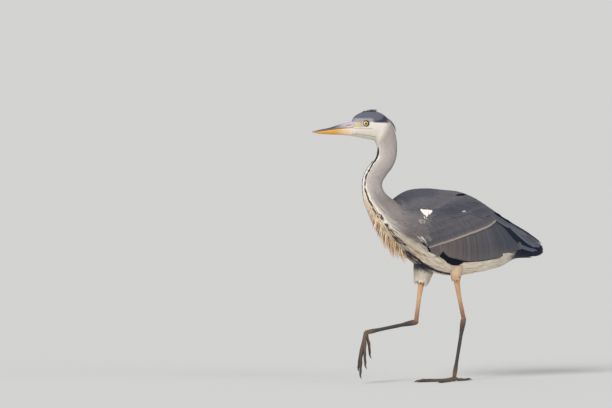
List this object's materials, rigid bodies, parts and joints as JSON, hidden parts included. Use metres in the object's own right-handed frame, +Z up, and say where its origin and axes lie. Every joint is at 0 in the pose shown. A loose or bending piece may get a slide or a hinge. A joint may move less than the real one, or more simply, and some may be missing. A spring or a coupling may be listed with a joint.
{
  "type": "grey heron, still model",
  "caption": "Life-size still model of a grey heron wading on one leg, neck in an S, other leg lifted in mid-step, long pointed bill held level.",
  "frame": {"origin": "on the floor, under the middle of the model's outline", "axes": "+Z up; the heron faces -X, so its tail points to +X; its left side is -Y, and its body is symmetrical across the XZ plane apart from the legs"},
  "size_m": [0.6619, 0.16, 0.6645],
  "materials": {
    "face_coat": "white-cream cheeks and throat, slate-grey crown with a dark stripe on each side, in very small flat feathers",
    "crown_coat": "dark slate crest feathers, slightly raised",
    "neck_coat": "pale warm-grey feathers, white down the front with two rows of black streaks",
    "plume_coat": "long pointed buff and white plumes with dark streaks",
    "body_coat": "slate-grey mantle and scapulars, pale grey flanks, dark belly stripe and white vent",
    "wing_coat": "slate-grey coverts with a pale line, grey secondaries and blue-black primaries",
    "tail_coat": "blue-grey tail feathers, whitish below",
    "thigh_coat": "short downy white and buff feathers",
    "bill_dark": "horn, dark violet-brown along the ridge, paler at the base, satin",
    "bill_orange": "horn, orange-yellow, pinkish at the base, satin",
    "eye": "clear wet cornea over a yellow iris and a black pupil",
    "shin_skin": "scaly bare skin, orange-pink to buff, satin",
    "foot_skin": "scaly bare skin, dark brown-grey, satin",
    "claw": "dark horn, satin"
  },
  "bodies": {
    "root": {"head": "face_coat", "crest": "crown_coat", "bill_upper": "bill_dark", "bill_lower": "bill_orange", "eye_left": "eye", "eye_right": "eye", "neck_upper": "neck_coat", "neck_lower": "neck_coat", "breast_plumes": "plume_coat", "trunk": "body_coat", "tail": "tail_coat", "wing_left": "wing_coat", "wing_right": "wing_coat", "thigh_left": "thigh_coat", "shin_left": "shin_skin", "shank_left": "foot_skin", "foot_left": "foot_skin", "claw_middle_left": "claw", "claw_inner_left": "claw", "claw_outer_left": "claw", "claw_hind_left": "claw", "thigh_right": "thigh_coat", "shin_right": "shin_skin", "shank_right": "foot_skin", "foot_right": "foot_skin", "claw_middle_right": "claw", "claw_inner_right": "claw", "claw_outer_right": "claw", "claw_hind_right": "claw"}
  },
  "joints": []
}
